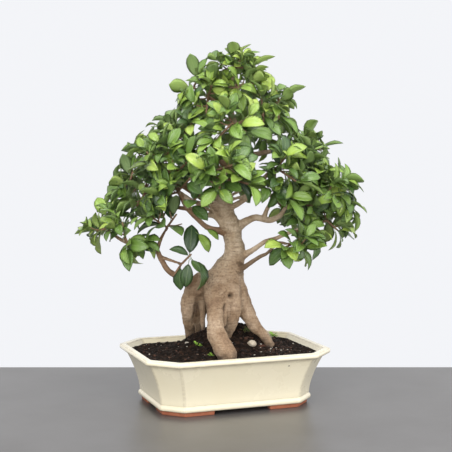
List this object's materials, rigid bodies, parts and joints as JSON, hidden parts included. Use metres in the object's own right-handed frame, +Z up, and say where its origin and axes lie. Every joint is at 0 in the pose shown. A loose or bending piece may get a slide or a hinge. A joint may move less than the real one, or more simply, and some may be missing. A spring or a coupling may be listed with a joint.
{
  "type": "chinese banyan bonsai in a pot",
  "caption": "Broad dome-crowned banyan fig bonsai with thick stilt roots, tapered trunk and leathery leaves, in a glazed rectangular pot with cut corners and feet.",
  "frame": {"origin": "on the ground under the middle of the whole, crown and pot together", "axes": "+Z up, +X along the pot's long side, -Y towards the tree's front"},
  "size_m": [0.5939, 0.4601, 0.7495],
  "materials": {
    "glaze": "glossy ivory glaze, unglazed brick-red under the feet",
    "soil": "matt, crumbly, dark brown",
    "bark": "matt, pale tan with fine cross wrinkles",
    "leaf": "glossy above, matt and paler below",
    "pebble": "matt"
  },
  "bodies": {
    "root": {"pot": "glaze", "soil": "soil", "pebble": "pebble", "trunk": "bark", "spray_01": "leaf", "spray_02": "leaf", "spray_03": "leaf", "spray_04": "leaf", "spray_05": "leaf", "spray_06": "leaf", "spray_07": "leaf", "spray_08": "leaf", "spray_09": "leaf", "spray_10": "leaf", "spray_11": "leaf", "spray_12": "leaf", "spray_13": "leaf", "spray_14": "leaf", "spray_15": "leaf", "spray_16": "leaf", "spray_17": "leaf", "spray_18": "leaf", "spray_19": "leaf", "spray_20": "leaf", "spray_21": "leaf", "spray_22": "leaf", "spray_23": "leaf", "spray_24": "leaf", "spray_25": "leaf", "spray_26": "leaf", "spray_27": "leaf", "spray_28": "leaf", "spray_29": "leaf", "spray_30": "leaf", "spray_31": "leaf", "spray_32": "leaf", "spray_33": "leaf", "spray_34": "leaf", "spray_35": "leaf", "spray_36": "leaf", "spray_37": "leaf", "spray_38": "leaf", "spray_39": "leaf", "spray_40": "leaf", "spray_41": "leaf", "spray_42": "leaf", "spray_43": "leaf", "spray_44": "leaf"}
  },
  "joints": []
}
